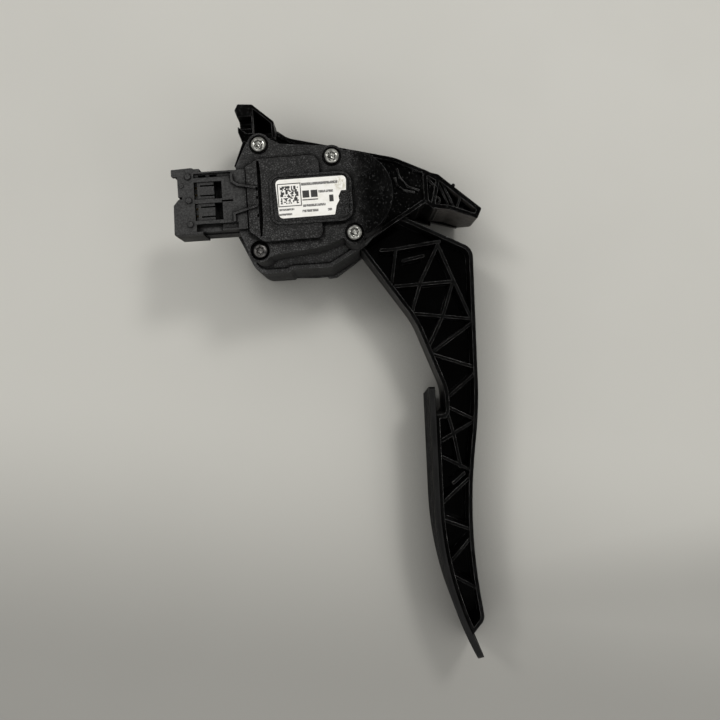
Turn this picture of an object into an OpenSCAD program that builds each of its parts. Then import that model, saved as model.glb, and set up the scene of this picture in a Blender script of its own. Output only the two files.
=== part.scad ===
// Electronic accelerator pedal, lying on its side as it would on a bench.
// Origin: on the pivot axis, in the plane of the housing's far side.
// +Z is the pivot axis, +X runs from the plug socket to the housing, the foot plate hangs towards -Y.

/* [Travel] */
// Full travel of the pedal about its pivot, degrees
travel = 12; // [6:0.5:14]
// Gap left between the lever and the full travel stop
stop_gap = 0.3; // [0.2:0.1:1]

/* [Foot plate] */
// Tread face at the top of the foot plate, distance from the pivot axis along X
tread_x = 31.8; // [30:0.1:33]
// Top end of the foot plate below the pivot
pad_top = 89.4; // [88:0.2:92]
// Lean of the straight upper part towards the housing, degrees
pad_lean = 0.9; // [0:0.1:1.5]
// How much lower the top end is on the far side
pad_slant = 5; // [0:0.5:8]
// Length of the straight upper part
pad_straight = 56.6; // [50:0.2:60]
// Radius of the curved part of the tread
pad_curve_r = 168; // [155:1:180]
// Angle through which the tread curves, down to the tip
pad_curve_angle = 26.7; // [25:0.1:28]
// Width of the foot plate along the pivot axis
pad_w = 34; // [33:0.5:40]
// Thickness of the foot plate
pad_t = 3; // [2.4:0.1:3.2]
// Rounding of its long edges
pad_edge_r = 0.8; // [0.4:0.1:1]
// Corner radius at the top of the foot plate
pad_corner_r = 2.5; // [1:0.5:8]
// Corner radius at the tip of the foot plate
pad_tip_r = 6; // [4:0.5:10]
// Depth of the grip grooves in the tread
groove_d = 0.5; // [0.2:0.1:1]
// Number of grip grooves
groove_n = 5; // [3:1:7]

/* [Pedal arm] */
// Slope of the arm's top edge, degrees below X
arm_top_slope = 27.8; // [26:0.2:30]
// Distance of the arm's top edge above the pivot
arm_top_offset = 5.2; // [4.5:0.1:6]
// Height of the arm's far side above the bench
arm_lift = 5; // [4.5:0.5:6]
// Depth of the arm along the pivot axis
arm_depth = 26; // [24:0.5:26]
// Thickness of the flange round the arm
flange_t = 1.8; // [1.4:0.1:2.4]
// Thickness of the web in the middle of the arm
web_t = 2; // [1.5:0.1:3]
// Thickness of the bracing ribs
rib_t = 1.4; // [1:0.1:2]
// How far the ribs stay below the flange edge
rib_drop = 1; // [0:0.1:3]
// Radius of the hub round the pivot
hub_r = 12; // [10:0.5:13]
// Lower edge of the slot between arm and foot plate, below the pivot
slot_end = 103.4; // [101:0.1:105]
// Width of the slot between arm and foot plate
slot_w = 4.8; // [4.4:0.1:5.2]

/* [Spring lever] */
// Reach of the spring lever from the pivot
lever_reach = 33.8; // [33:0.1:34.5]
// Underside of the spring lever below the pivot
lever_seat = 8; // [7:0.5:9]
// Top of the spring lever above the pivot
lever_top = 1; // [0.5:0.1:1.5]
// Radius of the rubbing face of the friction shoe
shoe_r = 37.5; // [37:0.1:38]
// Height of the friction shoe along the pivot axis
shoe_w = 17; // [12:1:20]
// Gap between the friction shoe and its track
shoe_gap = 0.3; // [0.2:0.05:0.5]

/* [Springs] */
// Distance of the spring axis from the pivot
spring_x = 22; // [21.5:0.5:22.5]
// Outer spring: mean coil radius
outer_coil_r = 7.2; // [6.8:0.1:7.3]
// Outer spring: wire diameter
outer_wire = 1.8; // [1.4:0.1:2]
// Outer spring: number of turns
outer_turns = 6; // [5:0.5:7]
// Inner spring: mean coil radius
inner_coil_r = 4.3; // [4:0.1:4.5]
// Inner spring: wire diameter
inner_wire = 1.2; // [0.9:0.1:1.4]
// Inner spring: number of turns
inner_turns = 8; // [6:0.5:9]
// Thickness of the spring seat's disc
seat_t = 2; // [1.5:0.1:3]

/* [Pivot] */
// Radius of the steel pivot pin
pin_r = 5; // [4:0.1:5.5]
// Running gap between pin and bushes, on the radius
pin_gap = 0.05; // [0.02:0.01:0.1]
// Wall of the pivot bushes
bush_t = 2.2; // [1.5:0.1:2.5]
// Gap between the hub and the bush flanges
hub_gap = 0.3; // [0.2:0.05:0.5]

/* [Housing] */
// Thickness of the housing's side walls
wall = 2.2; // [1.8:0.1:2.6]
// Gap between the arm and the near wall
near_gap = 1; // [0.6:0.1:1.4]
// Thickness of the near wall
near_t = 2.5; // [2:0.1:2.5]
// Height of the rim round the near wall
rim_h = 1.4; // [0.6:0.1:2]
// Width of that rim
rim_w = 1.8; // [1.2:0.1:2.4]
// Thickness of the far side lid
lid_t = 2.4; // [2:0.1:2.6]
// Far side of the stop lug above the bench
lug_z = 1.5; // [1:0.1:2.5]
// How far the stop face stands back from the lever at its bend
stop_relief = 1.4; // [0.5:0.1:2]
// Depth of the pockets cored into the stop lug
lug_pocket = 20; // [10:1:22]
// Radius of the fixing hole in the stop lug
fixing_r = 3.3; // [3:0.1:3.4]
// Depth of the fixing hole
fixing_l = 9; // [6:0.5:9.5]
// Far side of the ear above the bench
ear_z = 20; // [18:0.5:24]
// How far the ear stands above the near wall
ear_rise = 7.5; // [6:0.5:8]
// Radius of the half-round saddle in the ear
saddle_r = 2.4; // [2:0.1:2.6]
// Depth of the saddle
saddle_depth = 7.5; // [5.5:0.5:8]

/* [Sensor cover] */
// Depth of the sensor chamber between near wall and gasket
chamber_h = 17.5; // [17:0.1:18.5]
// Thickness of the cover plate
cover_t = 3.4; // [3:0.1:4]
// Height of the raised plateau on the cover
plateau_h = 1.8; // [1:0.1:2.2]
// Height of the label pad above the plateau
pad_rim_h = 0.4; // [0.2:0.1:0.8]
// Radius of the round end of the cover, about the pivot
cover_r = 19.2; // [18.8:0.1:19.6]
// Radius of the lobes round the screws
lobe_r = 5.2; // [4.8:0.1:5.6]
// Thickness of the cover gasket
gasket_t = 0.6; // [0.4:0.1:1]
// Thickness of the label
label_t = 0.15; // [0.1:0.05:0.3]

/* [Screws] */
// Radius of the screw heads
head_r = 3.45; // [3:0.05:3.8]
// Height of the screw heads
head_h = 2.3; // [1.8:0.1:2.8]
// Radius of the screw shanks
shank_r = 1.5; // [1.2:0.1:1.8]
// Length of the screw shanks
shank_l = 12; // [8:1:14]
// How far the screw beside the socket is sunk into its lobe
sink = 1.8; // [1.4:0.1:2]

/* [Plug socket] */
// Open end of the socket, distance from the pivot
socket_x = 79; // [77:0.5:82]
// Half width of the socket
socket_w = 14.6; // [13.6:0.2:15]
// How far the socket stands above the cover plate
socket_rise = 1.4; // [0.8:0.1:1.8]
// Height of the socket along the pivot axis
socket_h = 16.4; // [16:0.1:16.6]
// Wall of the socket
socket_wall = 1.6; // [1.2:0.1:2]
// Number of terminals
terminal_n = 6; // [2:2:6]
// Distance between terminals
terminal_pitch = 3.2; // [2.5:0.1:3.4]
// Thickness of a terminal
terminal_t = 0.8; // [0.6:0.1:1]

/* [Sensor] */
// Thickness of the circuit board
board_t = 1.6; // [1:0.2:2]
// Height of the circuit board above the near wall
board_rise = 11.5; // [11:0.1:12]
// Radius of the rotor disc
rotor_r = 12.6; // [11.4:0.2:12.6]
// Thickness of the rotor disc
rotor_t = 2.5; // [1.5:0.1:2.5]
// Thickness of the magnets
magnet_t = 1.4; // [1:0.1:1.6]

/* [Hidden] */
$fn = 48;
eps = 0.01;
black = "#17181a";
dark_grey = "#2c2d2f";
steel = "#b9bcc0";

// How far the chamber's wall stands back under the edge of the cover
cover_step = 0.9;
// Stud on the end of the spring lever that holds the friction shoe, and its fit
stud_r = 2.4;
stud_gap = 0.05;

// Levels along the pivot axis
arm_top_z = arm_lift + arm_depth;
arm_mid_z = arm_lift + arm_depth / 2;
chamber_top = arm_top_z + near_gap;
near_z = chamber_top + near_t;
rim_z = near_z + rim_h;
hub_top = arm_top_z - 0.4;
hub_bottom = arm_lift + 2.7;
bush_r = pin_r + pin_gap;
bush_outer = bush_r + bush_t;
collar_r = bush_outer + 1.8;
boss_r = bush_outer + 2.4;
near_boss_z = near_z + 3.5;
far_boss_z = lid_t + 4.2;
rotor_z = near_boss_z + 2;
board_z = near_z + board_rise;
chamber_rim_z = near_z + chamber_h;
cover_z = chamber_rim_z + gasket_t;
cover_top = cover_z + cover_t;
socket_top = cover_top + socket_rise;
socket_z = socket_top - socket_h;
ear_top = near_z + ear_rise;
plateau_z = cover_top + plateau_h;
label_z = plateau_z + pad_rim_h;

// The arm's top edge is a straight line; the full travel stop is the same line turned by the travel
function line_y(x, slope, offset) = (offset - x * sin(slope)) / cos(slope);
function top_y(x) = line_y(x, arm_top_slope, arm_top_offset);
stop_slope = arm_top_slope - travel;
function stop_y(x) = line_y(x, stop_slope, arm_top_offset + stop_gap);

pad_back = tread_x + pad_t;
arm_slot_x = pad_back + slot_w;

// Outlines are lists of corners [x, y, radius], anticlockwise
arm_corners = [
    [-7.6, -5, 0],
    [27.5, -57.5, 45],
    [arm_slot_x, -91.5, 20],
    [arm_slot_x, -slot_end, slot_w / 2 - 0.1],
    [pad_back - 4, -slot_end, 0],
    [pad_back - 4, -160, 0],
    [38, -210, 0],
    [46, -210, 0],
    [52.1, -203, 5.5],
    [46.9, -157.2, 260],
    [55.5, -100.5, 190],
    [57.3, top_y(57.3), 7],
    [-3, top_y(-3), 0]
];

housing_corners = [
    [-54.5, -12, 3],
    [-45.8, -31, 7],
    [-31, -31, 0.6],
    [-29.6, -29.8, 0.6],
    [-11, -29.8, 2],
    [6.3, -20.2, 0],
    [9.6, -16.9, 2],
    [13.1, -15, 2],
    [35.3, -2.1, 0],
    [39.5, stop_y(39.5), 0],
    [43, 9, 0],
    [37.5, 12.8, 6],
    [22, 20.2, 30],
    [-27, 32.3, 12],
    [-33, 35.6, 2],
    [-48, 34.5, 3],
    [-49.6, 14, 10]
];

// The lid stands out a little below the tub
lid_corners = [
    [-54.5, -12, 3],
    [-46.4, -28.6, 7],
    [-34, -29.7, 2],
    [-20, -30.5, 0],
    [-14.4, -30.3, 0],
    [-13.4, -31.3, 0.4],
    [-9.4, -31, 2],
    [6.3, -20.6, 0],
    [9.6, -16.9, 2],
    [13.1, -15, 2],
    [31.4, -3.5, 0],
    [40.8, stop_y(40.8) - 1.3, 0],
    [43, 9, 0],
    [37.5, 12.8, 6],
    [22, 20.2, 30],
    [-27, 32.3, 12],
    [-33, 35.6, 2],
    [-48, 34.5, 3],
    [-49.6, 14, 10]
];

// The lever meets the outer end of the lug's face, which is bent back from there
lug_corners = [
    [35, -1.9, 0],
    [38.6, stop_y(38.6) + stop_relief - 0.9, 0],
    [46.7, stop_y(46.7) + stop_relief, 0],
    [59.6, stop_y(59.6), 0.8],
    [61.9, -6.4, 1],
    [42.3, 10.9, 1.5],
    [35, 13.2, 0]
];

// Ribs in the lug's pocket, and low ribs on the near wall beside the round end of the cover
lug_ribs = [
    [[38.5, 12.5], [37.9, 8.5], [38.9, 7.4], [40.3, 5.7], [40.4, 3.8]],
    [[40.6, 11], [43.4, 3.8], [46.8, -5]],
    [[42.9, 10], [44.4, 6.1], [47.3, -0.9], [49.2, -6]],
    [[53.2, 2], [52.1, 0.9], [52, -1.2], [49.6, -7]]
];
wall_ribs = [
    [[23.1, 14.7], [24.1, 10.8], [27.6, 6.2], [32.6, 4.2]],
    [[21.8, 10.5], [22.6, 7], [25.6, 4.6], [30.4, 3.3]]
];

ear_corners = [
    [-48.4, 29, 0],
    [-33, 30, 0],
    [-33.4, 38.7, 1.5],
    [-43.1, 47.3, 1.2],
    [-49.8, 47.8, 0.8],
    [-51.4, 45, 1],
    [-50.3, 41.5, 1],
    [-50.3, 34.6, 2]
];

gusset_corners = [
    [-34, 28, 0],
    [-20.5, 29.4, 0],
    [-27.6, 32.6, 2],
    [-33.7, 37.4, 1]
];

cover_corners = [
    [-50.3, -14.4, 1],
    [-46.2, -24.6, 3],
    [-41.7, -27.2, 3],
    [-33, -25.1, 4],
    [-14, -23.3, 40],
    [-3, -19.5, 0],
    [6, -13, 0],
    [6, 13, 0],
    [-2, 19.6, 0],
    [-11, 22, 6],
    [-30, 23.9, 4],
    [-38, 28.2, 3],
    [-45, 25.2, 3],
    [-50.3, 14.8, 1]
];

plateau_corners = [
    [-45.5, -14.6, 0.4],
    [-39.4, -19.6, 0.4],
    [-14.4, -19.2, 1.5],
    [-13.2, -17, 2],
    [-13.2, 15, 2],
    [-15.5, 17.5, 1.5],
    [-40.5, 17.1, 0.4],
    [-45.7, 13.9, 0.4]
];

label_pad = [
    [-35.5, -12.5, 4],
    [0.8, -12.5, 5],
    [0.8, 9.5, 5],
    [-35.5, 9.5, 4]
];

label_corners = [
    [-32, -9.9, 2],
    [-7.2, -9.5, 0.4],
    [-6.3, -5.6, 0.6],
    [-4.9, -3.2, 0.6],
    [-5.2, -1.4, 0.6],
    [-3.9, 1.1, 0.6],
    [-1.7, 1, 0.4],
    [-1.3, 7.6, 2],
    [-32.9, 7.3, 2]
];

screws = [[-39.4, 24], [-7.2, 16.8], [0.9, -17.7], [-41.7, -23.1]];
sunk_screw = 3;
function screw_seat(i) = cover_top - 0.6 - (i == sunk_screw ? sink : 0);
board_posts = [[-43.5, 13.5], [-43.5, -13.5], [-20, 17.6], [-20, -18.2]];

// Bracing ribs: each is a run of points across the arm, seen from the near side
arm_ribs = [
    [[13.5, -22.5], [20.4, -22.4], [41.5, -20]],
    [[20.4, -22.4], [17.5, -38]],
    [[40.7, -21.5], [31.6, -38.5], [26, -54]],
    [[40.7, -21.5], [47, -38.5], [55, -59]],
    [[19, -40.3], [47, -39.6]],
    [[47, -39.6], [41, -56.1], [33, -71]],
    [[27, -54], [56, -58.4]],
    [[55.5, -59.8], [34, -73.8], [56, -82]],
    [[55, -84.5], [39.5, -96.5]],
    [[38, -98.5], [53.5, -107]],
    [[53, -107.5], [35.5, -116.5]],
    [[40, -101.5], [42.7, -113], [45, -129]],
    [[35, -123], [50.5, -131.5]],
    [[50.5, -133.5], [36, -145.5]],
    [[35.5, -154.4], [51, -161]],
    [[50, -161.5], [38.5, -173.5]],
    [[39.5, -182.3], [51.5, -189.5]],
    [[37, -116], [43, -113]],
    [[41.3, -136.7], [46.3, -132.6]],
    [[23.5, -28.2], [33, -26.5]]
];

// Exact rounding of an outline: every corner is a true arc, a hair over size so that it crosses
// the straight edges cleanly
arc_slack = 0.002;
least_arc = 0.3;
function unit(v) = v / norm(v);
function xy(p) = [p[0], p[1]];
function turn(a, v, b) = (v[0] - a[0]) * (b[1] - v[1]) - (v[1] - a[1]) * (b[0] - v[0]);
function corner(a, v, b, r) =
    let (u = unit(a - v), w = unit(b - v), half = acos(u * w) / 2)
    [v + u * r / tan(half), v + w * r / tan(half), v + unit(u + w) * r / sin(half)];
function inset_corner(a, v, b, r, d) =
    let (u = unit(a - v), w = unit(b - v), half = acos(u * w) / 2, s = sign(turn(a, v, b)),
         p = v + unit(u + w) * s * d / sin(half))
    [p[0], p[1], r > 0 && r - s * d > least_arc ? r - s * d : 0];
function inset(p, d) =
    let (n = len(p))
    [for (i = [0 : n - 1])
        inset_corner(xy(p[(i + n - 1) % n]), xy(p[i]), xy(p[(i + 1) % n]), p[i][2], d)];

module corner_piece(a, v, b, r) {
    c = corner(a, v, b, r);
    lap = (c[0] + c[1]) / 2 + unit(c[2] - v) * min(0.8, 0.4 * r);
    intersection() {
        translate(c[2]) circle(r = r + arc_slack, $fn = r > 20 ? 360 : 48);
        polygon([c[0], v, c[1], lap]);
    }
}

module outline(p) {
    n = len(p);
    difference() {
        union() {
            polygon([for (i = [0 : n - 1])
                let (a = xy(p[(i + n - 1) % n]), v = xy(p[i]), b = xy(p[(i + 1) % n]))
                each (p[i][2] > 0 ? [corner(a, v, b, p[i][2])[0], corner(a, v, b, p[i][2])[1]] : [v])]);
            for (i = [0 : n - 1]) {
                a = xy(p[(i + n - 1) % n]);
                v = xy(p[i]);
                b = xy(p[(i + 1) % n]);
                if (p[i][2] > 0 && turn(a, v, b) > 0) corner_piece(a, v, b, p[i][2]);
            }
        }
        for (i = [0 : n - 1]) {
            a = xy(p[(i + n - 1) % n]);
            v = xy(p[i]);
            b = xy(p[(i + 1) % n]);
            if (p[i][2] > 0 && turn(a, v, b) < 0) corner_piece(a, v, b, p[i][2]);
        }
    }
}

module slab(p, z0, z1) {
    translate([0, 0, z0]) linear_extrude(z1 - z0) outline(p);
}

module bar(a, b, t) {
    l = norm(b - a);
    translate(a) rotate(atan2(b[1] - a[1], b[0] - a[0])) translate([0, -t / 2]) square([l, t]);
}

module run_of_bars(points, t) {
    for (i = [0 : len(points) - 2]) bar(points[i], points[i + 1], t);
    for (p = points) translate(p) circle(r = t / 2 + 0.1, $fn = 16);
}

module box(lo, hi) {
    translate(lo) cube(hi - lo);
}

// Frame of the foot plate: Y runs up its straight part, with the top of the tread at the origin
module in_tread_frame() {
    translate([tread_x, -pad_top]) rotate(-pad_lean) children();
}

pad_c = [pad_curve_r, -pad_straight];

// A strip of the foot plate's side view, from a to b behind the tread face
module tread_strip(a, b) {
    far = 2 * pad_curve_r;
    in_tread_frame() {
        translate([a, -pad_straight]) square([b - a, pad_straight]);
        translate(pad_c) intersection() {
            difference() {
                circle(r = pad_curve_r - a, $fn = 360);
                circle(r = pad_curve_r - b, $fn = 360);
            }
            polygon([[0, 0], [-far, 0.1], -far * [cos(pad_curve_angle), sin(pad_curve_angle)]]);
        }
    }
}

module left_of_tread(e) {
    tread_strip(-30, e);
}

// Section of the foot plate: its thickness along X from the tread face, its width along Y, with
// grooves in the tread; turned over it lies on the other side of the tread face
module pad_section(tread = 0, turned_over = false) {
    groove_w = pad_w / (2 * groove_n + 2);
    r = pad_edge_r;
    back = turned_over ? tread - pad_t : tread;
    groove_x = turned_over ? tread - groove_d : tread - 1;
    difference() {
        outline([[back, 0, r], [back + pad_t, 0, r], [back + pad_t, pad_w, r], [back, pad_w, r]]);
        for (i = [1 : groove_n])
            translate([groove_x, i * pad_w / (groove_n + 1) - groove_w / 2])
                square([groove_d + 1, groove_w]);
    }
}

// Foot plate: the section swept along the tread, with a slanted top end and rounded corners
module foot_plate() color(dark_grey) {
    spare = 1;
    margin = 0.25;
    tip_x = pad_curve_r * (1 - cos(pad_curve_angle));
    tip_y = -pad_straight - pad_curve_r * sin(pad_curve_angle);
    low = -pad_top - tip_x * sin(pad_lean) + tip_y * cos(pad_lean) - 0.6;
    intersection() {
        in_tread_frame() {
            translate([0, spare, 0]) rotate([90, 0, 0]) linear_extrude(pad_straight + spare) pad_section();
            translate(pad_c) rotate(180)
                rotate_extrude(angle = pad_curve_angle, $fn = 360) pad_section(pad_curve_r, true);
        }
        translate([tread_x - 10, 0, 0]) rotate([90, 0, 90]) linear_extrude(60) outline([
            [low, -margin, pad_tip_r],
            [-pad_top - pad_slant, -margin, pad_corner_r],
            [-pad_top, pad_w + margin, pad_corner_r],
            [low, pad_w + margin, pad_tip_r]
        ]);
    }
}

module arm_plan() {
    difference() {
        outline(arm_corners);
        left_of_tread(pad_t);
    }
}

module arm_pocket_plan() {
    difference() {
        outline(inset(arm_corners, flange_t));
        left_of_tread(pad_t + flange_t);
        translate([tread_x, -slot_end - flange_t]) square([arm_slot_x - tread_x, 3 * slot_w]);
    }
}

module lever_plan() {
    polygon([
        [-3, hub_r - 3],
        [-spring_x + 4, lever_top],
        [-lever_reach, lever_top],
        [-lever_reach, -lever_seat],
        [-10, -lever_seat],
        [-3, -hub_r + 1]
    ]);
}

// Pedal arm: a hub, a ribbed arm with a web in the middle, and the spring lever
module pedal_arm() color(black) {
    lever_z = (arm_depth - 5) / 2;
    difference() {
        union() {
            difference() {
                translate([0, 0, arm_lift]) linear_extrude(arm_depth) arm_plan();
                translate([0, 0, arm_mid_z + web_t / 2]) linear_extrude(arm_depth) arm_pocket_plan();
                translate([0, 0, arm_lift - 1])
                    linear_extrude(arm_depth / 2 - web_t / 2 + 1) arm_pocket_plan();
            }
            translate([0, 0, arm_lift + rib_drop]) linear_extrude(arm_depth - 2 * rib_drop) intersection() {
                arm_plan();
                for (r = arm_ribs) run_of_bars(r, rib_t);
            }
            translate([0, 0, hub_bottom]) cylinder(r = hub_r, h = hub_top - hub_bottom);
            translate([0, 0, arm_mid_z - lever_z]) linear_extrude(2 * lever_z) lever_plan();
            translate([-spring_x, -lever_seat + eps, arm_mid_z]) rotate([90, 0, 0])
                cylinder(r = inner_coil_r - inner_wire / 2 - 0.6, h = 3);
            translate([-lever_reach + eps, (lever_top - lever_seat) / 2, arm_mid_z])
                rotate([0, -90, 0]) cylinder(r = stud_r, h = 1.6);
        }
        translate([0, 0, arm_lift - 1]) cylinder(r = pin_r, h = arm_depth + 2);
        translate([0, 0, hub_top]) cylinder(r = hub_r + 1.5, h = arm_depth);
        translate([0, 0, hub_bottom - arm_depth]) cylinder(r = hub_r + 1.5, h = arm_depth);
    }
}

// Friction shoe: rides on the end of the lever and rubs along the track in the housing
module friction_shoe() color("#8d7f5c") {
    mid_y = (lever_top - lever_seat) / 2;
    half = (lever_top + lever_seat) / 2 + 1.5;
    translate([0, 0, arm_mid_z - shoe_w / 2]) difference() {
        intersection() {
            cylinder(r = shoe_r, h = shoe_w, $fn = 96);
            box([-shoe_r - 1, mid_y - half, 0], [-lever_reach - stud_gap, mid_y + half, shoe_w]);
        }
        translate([-lever_reach + 1, mid_y, shoe_w / 2]) rotate([0, -90, 0])
            cylinder(r = stud_r + stud_gap, h = 2.8);
    }
}

module pivot_pin() color(steel) {
    top = rotor_z + 2.8;
    chamfer = 0.6;
    rotate_extrude() polygon([
        [0, lid_t + 0.5],
        [pin_r - chamfer, lid_t + 0.5],
        [pin_r, lid_t + 0.5 + chamfer],
        [pin_r, top - chamfer],
        [pin_r - chamfer, top],
        [0, top]
    ]);
}

module flanged_bush(z0, z1, flange_z0, flange_z1) color("#a58a45") difference() {
    union() {
        translate([0, 0, z0]) cylinder(r = bush_outer, h = z1 - z0);
        translate([0, 0, flange_z0]) cylinder(r = collar_r, h = flange_z1 - flange_z0);
    }
    translate([0, 0, z0 - 1]) cylinder(r = bush_r, h = z1 - z0 + 2);
}

module near_bush() flanged_bush(hub_top + hub_gap, near_boss_z, hub_top + hub_gap, chamber_top);

module far_bush() flanged_bush(lid_t, hub_bottom - hub_gap, far_boss_z, hub_bottom - hub_gap);

// Coil springs: a round wire swept along a helix whose end turns are closed
function coil_rise(t, turns, wire, l) =
    let (closed = 1, a = t * turns, active = turns - 2 * closed, span = l - 3 * wire)
    a < closed ? wire / 2 + a * wire :
    a > turns - closed ? l - wire / 2 - (turns - a) * wire :
    wire * 1.5 + (a - closed) / active * span;

module coil(r, wire, turns, l) {
    per_turn = 18;
    sides = 8;
    n = ceil(turns * per_turn);
    points = [for (i = [0 : n]) let (t = i / n, a = 360 * turns * t, z = coil_rise(t, turns, wire, l))
        for (j = [0 : sides - 1]) let (b = 360 * j / sides, q = r + wire / 2 * cos(b))
            [q * cos(a), q * sin(a), z + wire / 2 * sin(b)]];
    faces = [
        [for (j = [0 : sides - 1]) j],
        for (i = [0 : n - 1]) for (j = [0 : sides - 1])
            let (k = (j + 1) % sides)
            [i * sides + j, (i + 1) * sides + j, (i + 1) * sides + k, i * sides + k],
        [for (j = [sides - 1 : -1 : 0]) n * sides + j]
    ];
    polyhedron(points, faces, convexity = 10);
}

spring_floor = inner_floor() + seat_t;
spring_l = -lever_seat - spring_floor - 0.1;
function inner_floor() = housing_corners[4][1] + wall - 0.6;

module place_spring() {
    translate([-spring_x, spring_floor + 0.05, arm_mid_z]) rotate([-90, 0, 0]) children();
}

module outer_return_spring() color(steel)
    place_spring() coil(outer_coil_r, outer_wire, outer_turns, spring_l);

module inner_return_spring() color(steel)
    place_spring() coil(inner_coil_r, inner_wire, inner_turns, spring_l);

module spring_seat() color(dark_grey) {
    translate([-spring_x, inner_floor(), arm_mid_z]) rotate([-90, 0, 0]) {
        cylinder(r = outer_coil_r + outer_wire / 2 + 0.6, h = seat_t);
        cylinder(r = inner_coil_r - inner_wire / 2 - 0.6, h = seat_t + 4);
    }
}

// Rubber block that the lever rests against when the pedal is released
bumper_y = lever_top + 0.3;
bumper_h = 3;
bumper_stem_r = 1.5;

module idle_bumper() color("#202020") {
    box([-31, bumper_y, arm_mid_z - 6], [-21, bumper_y + bumper_h, arm_mid_z + 6]);
    translate([-26, bumper_y + bumper_h - eps, arm_mid_z]) rotate([-90, 0, 0])
        cylinder(r = bumper_stem_r, h = 2.6);
}

module idle_rib() {
    y = bumper_y + bumper_h;
    difference() {
        box([-shoe_r - shoe_gap - 1, y, lid_t + 0.6], [-19, y + 3, near_z - 1]);
        translate([-26, y - 1, arm_mid_z]) rotate([-90, 0, 0]) cylinder(r = bumper_stem_r, h = 5);
    }
}

module friction_track() {
    r = shoe_r + shoe_gap;
    translate([0, 0, lid_t + 0.6]) linear_extrude(near_z - 1 - lid_t - 0.6) intersection() {
        difference() {
            circle(r = r + 2.2, $fn = 96);
            circle(r = r, $fn = 96);
        }
        polygon([[0, 0], [-60, 10], [-60, -36]]);
    }
}

// The arm leaves the housing through this gap in its walls
module arm_window(z0, z1) {
    translate([0, 0, z0]) linear_extrude(z1 - z0) polygon([
        [-11.7, 0],
        [20.7, -48.5],
        [75, -60],
        [75, stop_y(75)],
        [20, stop_y(20)],
        [0, stop_y(0)]
    ]);
}

module screw_boss(p, z0, z1) {
    translate([p[0], p[1], z0]) cylinder(r = lobe_r - 0.5, h = z1 - z0);
}

module stop_lug() {
    outer = xy(lug_corners[4]);
    face = unit(outer - xy(lug_corners[5]));
    mid = (outer + xy(lug_corners[5])) / 2;
    slope_x = 54.1;
    difference() {
        union() {
            slab(lug_corners, lug_z, rim_z);
            // lip under the lever, and two short ribs at the inner end of the stop face
            slab([
                [40.8, stop_y(40.8) + 1.5, 0],
                [40.8, stop_y(40.8) - 1.3, 0],
                [slope_x, stop_y(slope_x) - 0.4, 0.5],
                [slope_x, stop_y(slope_x) + 1.5, 0]
            ], lug_z, arm_lift - 0.5);
            for (x = [39.3, 41])
                box([x, stop_y(x) + 0.3, lug_z + 6], [x + 0.8, stop_y(x) + 3, rim_z - 1.5]);
            // round nub on the upper edge
            translate([49.1, 5.2, rim_z - 6]) cylinder(r = 0.9, h = 6);
        }
        // cored pocket, open to the near side, crossed by ribs
        difference() {
            slab(inset(lug_corners, 2), rim_z - lug_pocket, rim_z + 1);
            translate([0, 0, lug_z]) linear_extrude(rim_z - lug_z - 0.8)
                for (r = lug_ribs) run_of_bars(r, 0.9);
            translate([0, 0, lug_z]) linear_extrude(rim_z - lug_z - 6)
                bar(mid - 12 * [-face[1], face[0]], mid, 2 * fixing_r + 5);
            // raised ring
            translate([40.9, -1, lug_z]) difference() {
                cylinder(r = 2, h = rim_z - lug_z - 1.6);
                cylinder(r = 1.2, h = rim_z);
            }
        }
        // far corner sloped away towards the end of the lug
        translate([slope_x, 0, lug_z]) rotate([90, 0, 0]) linear_extrude(60, center = true)
            polygon([[0, 0], [9, 21.6], [12, 21.6], [12, -1], [-0.5, -1]]);
        // seat of the lid, and room for the ridge on it
        slab(inset(lid_corners, -0.1), 0, lid_t);
        slab(inset(housing_corners, wall), 0, arm_lift);
        translate([mid[0], mid[1], (lug_z + rim_z) / 2 - 3])
            rotate([0, 0, atan2(face[1], face[0]) + 90]) translate([0.1, 0, 0])
                rotate([0, -90, 0]) cylinder(r = fixing_r, h = fixing_l + 0.1);
    }
}

saddle_y = 39.5;
saddle_end = -43.6;

// Fixing ear with a half-round saddle, open to the near side and to the left
module ear() {
    difference() {
        slab(ear_corners, ear_z, ear_top);
        // deep recess behind the slanted outer wall
        intersection() {
            slab(inset(ear_corners, 1.3), ear_z + 3, ear_top + 1);
            box([-42.8, 28, ear_z], [-34.6, 60, ear_top + 2]);
        }
        translate([-60, saddle_y, ear_top - saddle_depth + saddle_r]) rotate([0, 90, 0])
            cylinder(r = saddle_r, h = 60 + saddle_end);
        box([-60, saddle_y - saddle_r, ear_top - saddle_depth + saddle_r],
            [saddle_end, saddle_y + saddle_r, ear_top + 1]);
        // shelf below the saddle
        slab([[-50.8, 38, 0], [-48.4, 35.6, 1], [-46.4, 33.9, 0], [-43.6, 33.9, 0], [-43.6, 38, 0]],
            ear_top - 3, ear_top + 1);
    }
}

module ear_gusset() {
    difference() {
        slab(gusset_corners, ear_z, near_z);
        slab([[-33.2, 35.6, 0.3], [-33.4, 33.9, 0.3], [-27.4, 32.1, 0.3]], ear_z + 2, near_z + 1);
        slab([[-33, 32.3, 0.3], [-32.6, 31, 0.3], [-24.5, 30.4, 0.3]], ear_z + 2, near_z + 1);
    }
}

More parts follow.
